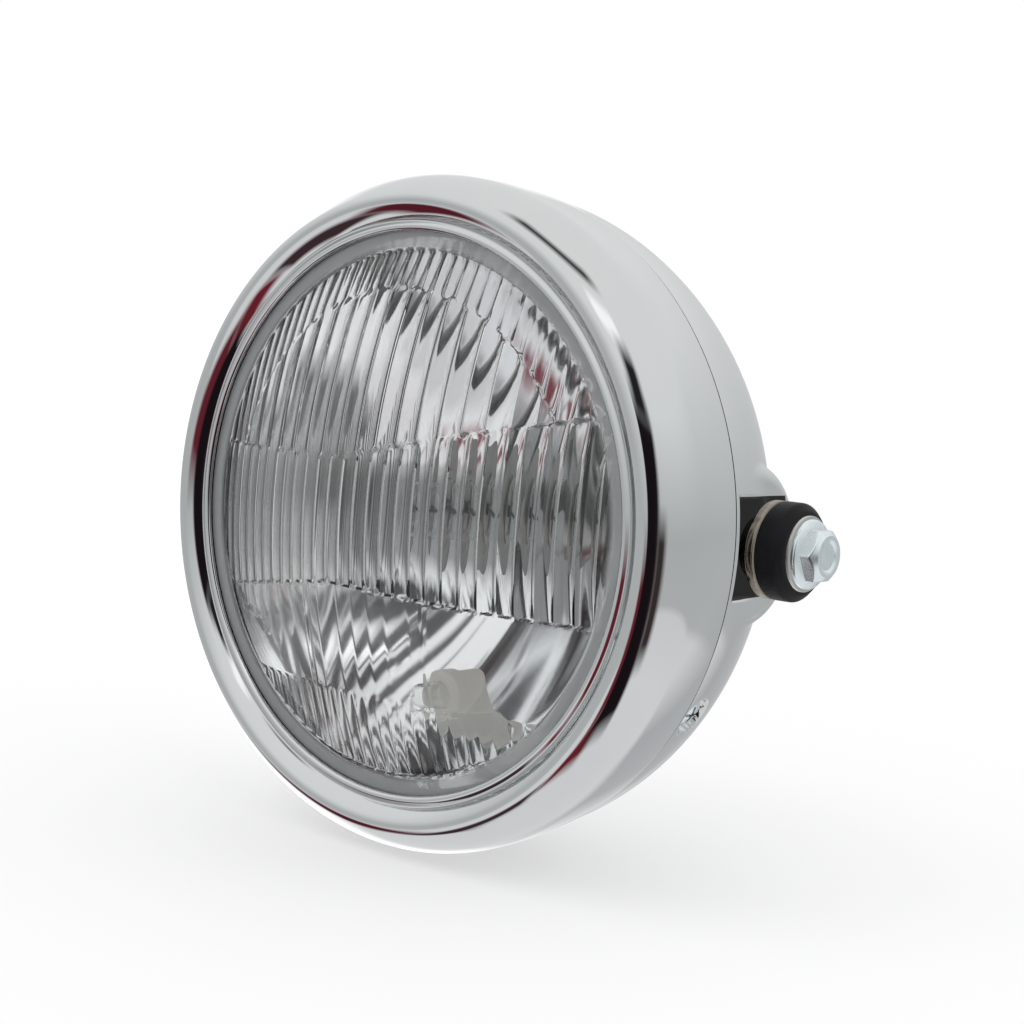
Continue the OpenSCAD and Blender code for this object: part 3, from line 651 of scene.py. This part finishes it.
def shell_stations(t, fine_step):
    """Bucket section from the cable hole round to the neck, before the boss, pocket and dimples."""
    flat_d = rear_flat_depth - t
    width, length = SHELL_R - t, BOWL_LENGTH - t
    edge = math.degrees(math.acos((flat_d - bowl_front) / length))
    rear = np.radians(np.linspace(edge, 55, 34))
    bowl = np.stack([width * np.sin(rear), bowl_front + length * np.cos(rear)], axis=1)
    depths = np.arange(bowl[-1, 1] - fine_step, bowl_front + 0.5, -fine_step)
    side = np.stack([width * np.sqrt(1 - ((depths - bowl_front) / length) ** 2), depths], axis=1)
    flat = np.stack([np.linspace(CABLE_HOLE_R, bowl[0, 0] - 0.6, 5), np.full(5, flat_d)], axis=1)
    shoulder = arc([width - SHELL_ROUND, bowl_front + SHELL_ROUND + t], SHELL_ROUND, 0, -90, 4)
    neck = [[neck_r - t, bowl_front + t], [neck_r - t, (bowl_front + neck_front) / 2], [neck_r - t, neck_front]]
    return np.concatenate([flat, bowl, side[side[:, 1] > bowl_front + t + 0.4], shoulder, neck])


def shell_angles():
    """Angles round the bucket, close together at the bosses and at the screw dimples."""
    coarse = np.radians(np.arange(0, 360, 2.5))
    boss = np.radians(np.arange(-17, 17.01, 0.36))
    dimple = np.radians(np.arange(-5, 5.01, 0.4))
    fine = np.concatenate([boss, boss + np.pi, dimple - SCREW_ANGLE, dimple + np.pi + SCREW_ANGLE]) % (2 * np.pi)
    angles = np.unique(np.round(np.concatenate([coarse, fine]), 5))
    gaps = np.diff(np.append(angles, angles[0] + 2 * np.pi))
    return angles[gaps > 0.002]


def press_boss(p, t):
    """Raises the round boss along X and sinks the square pocket, as heights over the side of the bucket."""
    side = np.sign(p[..., 0])
    height = np.abs(p[..., 0])
    ring = np.hypot(p[..., 1], p[..., 2])
    near = (height > BOSS_SIDE) & (ring < BOSS_R + BOSS_ZONE)
    half = POCKET_SIZE / 2 + t
    in_pocket = (smooth_step(half - np.abs(p[..., 2]), 0, PRESS_EDGE)
                 * smooth_step(p[..., 1], pocket_front - t - PIVOT, PRESS_EDGE))
    floor = BOSS_FACE - t
    sunk = height + in_pocket * (soft_min(height, floor, PRESS_EDGE) - height)
    inner = BOSS_R - BOSS_ROUND
    reach = np.clip(ring - inner, 0, BOSS_ROUND - t)
    crown = floor - (BOSS_ROUND - t) + np.sqrt(np.clip((BOSS_ROUND - t) ** 2 - reach ** 2, 0, None))
    wall = crown - BOSS_WALL_SLOPE * np.clip(ring - (BOSS_R - t), 0, None)
    wall = np.where(p[..., 1] < pocket_front - t - PIVOT, 0, wall)
    raised = soft_max(sunk, wall, BOSS_FILLET)
    raised = np.where(p[..., 1] < pocket_front + BOSS_START - PIVOT, sunk, raised)
    p[..., 0] = np.where(near, side * raised, p[..., 0])
    return p


def press_dimple(p, t, angle):
    """Sinks a round flat-floored dimple for a screw's head, square to the bucket's side."""
    out = np.array([math.cos(angle), 0, math.sin(angle)])
    along = np.array([-math.sin(angle), 0, math.cos(angle)])
    height = p @ out
    ring = np.hypot(p @ along, p[..., 1] + PIVOT - dimple_depth)
    inside = smooth_step(dimple_r + t - ring, 0, DIMPLE_EDGE) * (height > 0)
    drop = inside * (np.minimum(height, dimple_floor - t) - height)
    return p + drop[..., None] * out


def make_shell():
    """Outer skin, then the inner one back to the cable hole, each with its boss, pocket and dimples pressed in."""
    angles = shell_angles()
    skins = []
    for t, step in ((0.0, 0.55), (SHELL_WALL, 1.1)):
        skin = press_boss(on_lamp_axis(shell_stations(t, step), angles), t)
        for angle in (-SCREW_ANGLE, np.pi + SCREW_ANGLE):
            skin = press_dimple(skin, t, angle)
        skins.append(skin if t == 0 else skin[:, ::-1])
    points = np.concatenate(skins, axis=1)
    shell = make_piece("chrome_shell", [(points, grid_faces(points.shape[0], points.shape[1], True, True))])
    dress(shell, SHELL_CHROME, "chrome", "shell")


def rib_heights(x, pitch, height):
    """Distance of a ribbed hollow from the line through the dome's centre: round bars side by side."""
    bar = (pitch ** 2 / 4 + height ** 2) / (2 * height)
    path = inner_dome_r + bar - height
    nearest = np.round(x / pitch)
    found = np.sqrt((inner_dome_r + 0.25 * height) ** 2 - x ** 2)
    for i in (nearest - 1, nearest, nearest + 1):
        centre = i * pitch
        reach = np.clip(bar ** 2 - (x - centre) ** 2, 0, None)
        found = np.minimum(found, np.sqrt(path ** 2 - centre ** 2) - np.sqrt(reach))
    return found


def prism_depths(x, z):
    """Depth of the glass's inner face, by the five fields of upright prisms."""
    above = smooth_step(z - CUTOFF_Z - np.clip(x - CUTOFF_X, 0, None) * CUTOFF_SLOPE, 0, PRISM_EDGE)
    left = np.clip(CUTOFF_X - x, 0, None) * WINDOW_FALL_LEFT / (WINDOW_SPAN + CUTOFF_X)
    right = np.clip(x - CUTOFF_X, 0, None) * WINDOW_FALL_RIGHT / (WINDOW_SPAN - CUTOFF_X)
    below = smooth_step(-z - LOWER_Z - left - right, 0, PRISM_EDGE)
    bottom = smooth_step(-z, BOTTOM_Z, PRISM_EDGE)
    outside = smooth_step(np.hypot(x, z), ARC_R, PRISM_EDGE)
    fields = ((above * outside, EDGE_RIBS), (above * (1 - outside), BROAD_RIBS),
              ((1 - above) * (1 - below), MIDDLE_RIBS), (below * (1 - bottom), WINDOW_RIBS),
              (below * bottom, BOTTOM_RIBS))
    reach = sum(share * rib_heights(x, *ribs) for share, ribs in fields)
    return dome_c - np.sqrt(reach ** 2 - z ** 2)


def make_lens():
    """Inner face on a grid of upright chords, so each prism runs along the grid, and the rest turned to meet it."""
    closing = clear_r * np.cos(np.radians(np.arange(0, 14, 1.2)))
    x = np.unique(np.round(np.concatenate([np.linspace(-clear_r, clear_r, 301), closing, -closing]), 4))
    v = np.linspace(-1, 1, 201)[None, :]
    xx = np.repeat(x[:, None], v.shape[1], axis=1)
    zz = v * np.sqrt(np.clip(clear_r ** 2 - xx ** 2, 0, None))
    inner = np.stack([xx, prism_depths(xx, zz) - PIVOT, zz], axis=-1)
    upper, lower = inner[:, -1], inner[:, 0]
    loop = np.concatenate([upper, lower[-2:0:-1]])
    angles = np.arctan2(loop[:, 2], loop[:, 0])
    dome_r = np.linspace(DOME_EDGE_R, 0, 40)
    dome = np.stack([dome_r, dome_c - np.sqrt(DOME_R ** 2 - dome_r ** 2)], axis=1)
    border = np.array([
        [clear_r + 0.8, glass_back], [BORDER_R - SKIRT_T, glass_back], [BORDER_R - SKIRT_T, skirt_back],
        [BORDER_R, skirt_back], [BORDER_R, glass_front + GLASS_CHAMFER], [BORDER_R - GLASS_CHAMFER, glass_front],
        [DOME_EDGE_R + 1.5, glass_front], [DOME_EDGE_R + 0.4, glass_front - 0.03]])
    turned_part = on_lamp_axis(np.concatenate([border, dome]), angles)
    turned_part = np.concatenate([loop[:, None], turned_part], axis=1)
    lens = make_piece("prism_lens", [
        (inner, grid_faces(*xx.shape, False, False)),
        (turned_part, grid_faces(*turned_part.shape[:2], True, False))], sharp_degrees=40)
    dress(lens, LENS_GLASS, "lens_glass", "lens")


def make_reflector():
    """Parabola r squared over four focal lengths, with its wall, its flange and the bulb's hole."""
    r = np.linspace(BOWL_R, BULB_HOLE_R, 70)
    inside = np.stack([r, bowl_apex - r ** 2 / (4 * FOCAL)], axis=1)
    slope = np.arctan(r / (2 * FOCAL))
    outside = inside + np.stack([np.sin(slope), np.cos(slope)], axis=1)
    flange = [[BORDER_R, flange_front + 1.0], [BORDER_R, flange_front]]
    bowl = turned("reflector_bowl", np.concatenate([flange, inside, outside[::-1]]), 200, on_lamp_axis, 50)
    dress(bowl, ALUMINISED, "reflector", "reflector")


def make_position_lamp():
    """Small bulb of thin glass in a stepped cream holder, low in the reflector."""
    seat = bowl_apex - POSITION_Z ** 2 / (4 * FOCAL)
    inner_r = POSITION_BULB_R - POSITION_BULB_WALL
    tip = np.array([0, seat - POSITION_REACH + POSITION_BULB_R])
    open_end = tip[1] + HOLDER_REACH
    outer = np.concatenate([arc(tip, POSITION_BULB_R, -90, 0, 14), [[POSITION_BULB_R, open_end]]])
    inner = np.concatenate([[[inner_r, open_end]], arc(tip, inner_r, 0, -90, 14)])

    def place(section, angles):
        return on_lamp_axis(section, angles, POSITION_Z)

    bulb = make_piece("position_bulb_glass", [(place(np.concatenate([outer, inner]), full_turn(48)),
                                               grid_faces(48, len(outer) + len(inner), True, False))], 40)
    dress(bulb, BULB_GLASS, "bulb_glass", "position_bulb")
    front, back = seat - HOLDER_REACH, seat + HOLDER_TAIL
    step, foot, floor = seat - HOLDER_STEP, back - HOLDER_FOOT, front + HOLDER_BORE_DEPTH
    corners = [[HOLDER_BORE_R, floor], [HOLDER_BORE_R, front], [POSITION_R - 1.2, front], [POSITION_R, front + 1.2],
               [POSITION_R, step], [POSITION_R - 1, step], [POSITION_R - 1, foot],
               [POSITION_R + 1, foot], [POSITION_R + 1, back], [0.01, back], [0.01, floor]]
    holder = turned("position_holder_cream", rounded(corners, 0.35), 64, place)
    dress(holder, CREAM, "holder_plastic", "position_holder")


def make_mount(side, word):
    """Collar, bush, washer and flange bolt of one side, turned round the bolt axis."""
    def place(section, angles):
        return on_bolt_axis(section, angles, side)

    foot_r = SLEEVE_R + COLLAR_FOOT
    washer_r = BOLT_FLANGE_R + WASHER_MARGIN
    collar = rounded([[BOLT_HOLE_R, BOSS_FACE], [foot_r, BOSS_FACE], [foot_r, flange_in], [BUSH_R, flange_in],
                      [BUSH_R, bush_in], [SLEEVE_R, bush_in], [SLEEVE_R, bush_out], [BOLT_HOLE_R, bush_out]], 0.5)
    dress(turned("collar_" + word, collar, 96, place), COLLAR, "collar_steel", "mount_collar_" + word)
    bush = rounded([[SLEEVE_R, bush_in], [BUSH_R - BUSH_EDGE, bush_in], [BUSH_R, bush_in + BUSH_EDGE],
                    [BUSH_R, bush_out - BUSH_CHAMFER], [BUSH_R - BUSH_CHAMFER, bush_out], [SLEEVE_R, bush_out]], 0.7)
    dress(turned("bush_" + word, bush, 96, place), RUBBER, "rubber", "mount_bush_" + word)
    washer = rounded([[BOLT_HOLE_R, bush_out], [washer_r, bush_out], [washer_r, washer_out],
                      [BOLT_HOLE_R, washer_out]], 0.25)
    dress(turned("washer_" + word, washer, 80, place), STEEL, "steel", "mount_washer_" + word)
    dress(make_bolt(side, word), ZINC, "zinc", "mount_bolt_" + word)
    # The rim beside these four pieces mirrors none of them
    for kind in ("collar_", "bush_", "washer_", "bolt_"):
        bpy.data.objects[kind + word].visible_glossy = False


def make_bolt(side, word):
    """Rings of a hexagon bolt: the hexagon's radius by angle, cut back by the chamfer and blended at its corners."""
    angles = full_turn(360)
    turn = angles % (np.pi / 3) - np.pi / 6
    hexagon = BOLT_AF / 2 / np.cos(turn)
    corner = BOLT_AF / math.sqrt(3)
    top = washer_out + BOLT_HEAD
    rings = [(0.0, BOLT_END, False), (BOLT_SHANK_R, BOLT_END, False), (BOLT_SHANK_R, washer_out, False)]
    # The flange takes the two outer corners of its section, which have five points each
    flange = rounded([[BOLT_FLANGE_R - 2, washer_out], [BOLT_FLANGE_R, washer_out],
                      [BOLT_FLANGE_R, washer_out + FLANGE_EDGE], [corner + 0.4, washer_out + FLANGE_TOP]], 0.35)
    rings += [(r, h, False) for r, h in flange[5:15]]
    heights = np.concatenate([np.linspace(washer_out + 2.0, top - 0.3, 26), [top - 0.12, top]])
    chamfer = np.interp(heights, [top - HEAD_CHAMFER, top], [corner + 0.35, BOLT_AF / 2 - HEAD_CHAMFER_IN])
    rings += [(c, h, True) for c, h in zip(chamfer, heights)]
    rings += [(BOLT_AF / 2 - inset, top - sink, False) for inset, sink in HEAD_DISH]
    rings.append((0.0, top - HEAD_DISH_DEPTH, False))
    rows = []
    for radius, height, faceted in rings:
        r = soft_min(hexagon, np.full_like(hexagon, radius), 0.3) if faceted else np.full_like(hexagon, radius)
        rows.append(np.stack([np.full_like(r, side * height), r * np.cos(angles), r * np.sin(angles)], axis=-1))
    points = np.stack(rows, axis=1)
    return make_piece("bolt_" + word, [(points, grid_faces(*points.shape[:2], True, False))], 32)


def make_grommet():
    """Rubber ring with a groove that takes the edge of the cable hole."""
    front = rear_flat_depth - SHELL_WALL - GROMMET_FRONT
    back = rear_flat_depth + GROMMET_BACK
    groove_front = front + GROMMET_FRONT
    lip_r, bore_r = CABLE_HOLE_R + GROMMET_LIP, CABLE_HOLE_R - GROMMET_LIP
    corners = [[bore_r, front], [lip_r, front], [lip_r, groove_front], [CABLE_HOLE_R, groove_front],
               [CABLE_HOLE_R, rear_flat_depth], [lip_r, rear_flat_depth], [lip_r, rear_flat_depth + GROMMET_EDGE],
               [lip_r - GROMMET_EDGE, back], [bore_r, back]]
    dress(turned("grommet_ring", rounded(corners, 0.6), 96, on_lamp_axis), RUBBER, "rubber", "cable_grommet")


def make_studio():
    """Pale floor and a soft surround, greyest at the horizon, with what a chromed rim shows of a room."""
    half, below = 4.0, 0.0002
    level = cad_box[0][2] - below
    corners = [(-half, -half, level), (half, -half, level), (half, half, level), (-half, half, level)]
    mesh = bpy.data.meshes.new("studio_floor")
    mesh.from_pydata(corners, [], [(0, 1, 2, 3)])
    mesh.materials.append(floor_finish())
    floor = bpy.data.objects.new("studio_floor", mesh)
    bpy.context.scene.collection.objects.link(floor)
    world = bpy.data.worlds.new("studio_surround")
    bpy.context.scene.world = world
    f = Finish(world)
    x, y, z = separate(f, f.make("TexCoord", out="Generated"))
    height = z.math("ARCSINE", z) * (180 / math.pi)
    round_about = x.math("ARCTAN2", x, y * -1.0) * (180 / math.pi)
    seen = f.make("ValToRGB", Fac=z * 0.5 + 0.5, stops=[
        (0.0, (0.90, 0.90, 0.91)), (0.165, (0.92, 0.92, 0.93)), (0.312, (0.86, 0.86, 0.87)),
        (0.332, (0.62, 0.63, 0.63)), (0.48, (0.58, 0.60, 0.60)), (0.56, (0.68, 0.70, 0.70)),
        (0.66, (0.82, 0.83, 0.83)), (0.76, (0.96, 0.97, 0.97)), (1.0, (1.0, 1.0, 1.0))])
    through = f.make("LightPath", out="Is Transmission Ray")
    for around_band, height_band, colour, on_chrome, in_glass in ROOM:
        place = round_about.band(*around_band) * height.band(*height_band)
        seen = f.fade(place * (through * (in_glass - on_chrome) + on_chrome), seen, colour)
    plain = f.make("Background", Color=seen, Strength=1.0)
    white = f.make("Background", Color=(1.0, 1.0, 1.0), Strength=1.0)
    f.output(mix(f, f.make("LightPath", out="Is Camera Ray"), plain, white), "World")
    for name, place, aim, size, power in (
            ("key_panel", (-0.6, -0.9, 1.3), (0, 0, 0), 1.2, 5.0),
            ("fill_panel", (1.2, 0.2, 0.9), (0, 0, 0), 1.0, 3.0)):
        lamp = bpy.data.lights.new(name, "AREA")
        lamp.shape = "DISK"
        lamp.size = size
        lamp.energy = power
        panel = bpy.data.objects.new(name, lamp)
        panel.location = place
        panel.visible_glossy = False
        panel.visible_transmission = False
        panel.rotation_euler = (Vector(aim) - Vector(place)).to_track_quat("-Z", "Y").to_euler()
        bpy.context.scene.collection.objects.link(panel)


def make_camera():
    """Camera at the photograph's angle: 40 degrees round from the front, a little above, turned slightly."""
    azimuth, elevation, roll = math.radians(39.82), math.radians(4.62), math.radians(3.985)
    place = Vector((368.8, -435.0, 46.2)) * MM
    pixels_per_tangent = 1800.0
    back = Vector((math.sin(azimuth) * math.cos(elevation), -math.cos(azimuth) * math.cos(elevation),
                   math.sin(elevation)))
    level_right = Vector((math.cos(azimuth), math.sin(azimuth), 0))
    level_up = back.cross(level_right)
    right = math.cos(roll) * level_right + math.sin(roll) * level_up
    up = -math.sin(roll) * level_right + math.cos(roll) * level_up
    data = bpy.data.cameras.new("photo_camera")
    data.sensor_width = 36.0
    data.lens = pixels_per_tangent * data.sensor_width / 1024
    data.clip_start = 0.01
    camera = bpy.data.objects.new("photo_camera", data)
    camera.matrix_world = Matrix.Translation(place) @ Matrix((right, up, back)).transposed().to_4x4()
    bpy.context.scene.collection.objects.link(camera)
    bpy.context.scene.camera = camera


make_camera()
make_rim()
make_shell()
make_lens()
make_reflector()
make_position_lamp()
for mount_side, mount_word in ((1, "right"), (-1, "left")):
    make_mount(mount_side, mount_word)
make_grommet()
dress_nodes(STEEL, "rim_hook", "rim_lugs", "retaining_ring", "ring_springs", "bulb_seat", "bulb_spring",
            "bulb_base", "boss_nut_left", "boss_nut_right")
dress_nodes(ZINC, "rim_screws")
dress_nodes(RUBBER, "rim_seal", "lens_bond", "dust_boot")
dress_nodes(BULB_GLASS, "bulb_glass")
dress_nodes(TUNGSTEN, "bulb_filaments")
dress_nodes(BRASS, "bulb_terminals")
make_studio()

scene = bpy.context.scene
scene.view_settings.view_transform = "Standard"
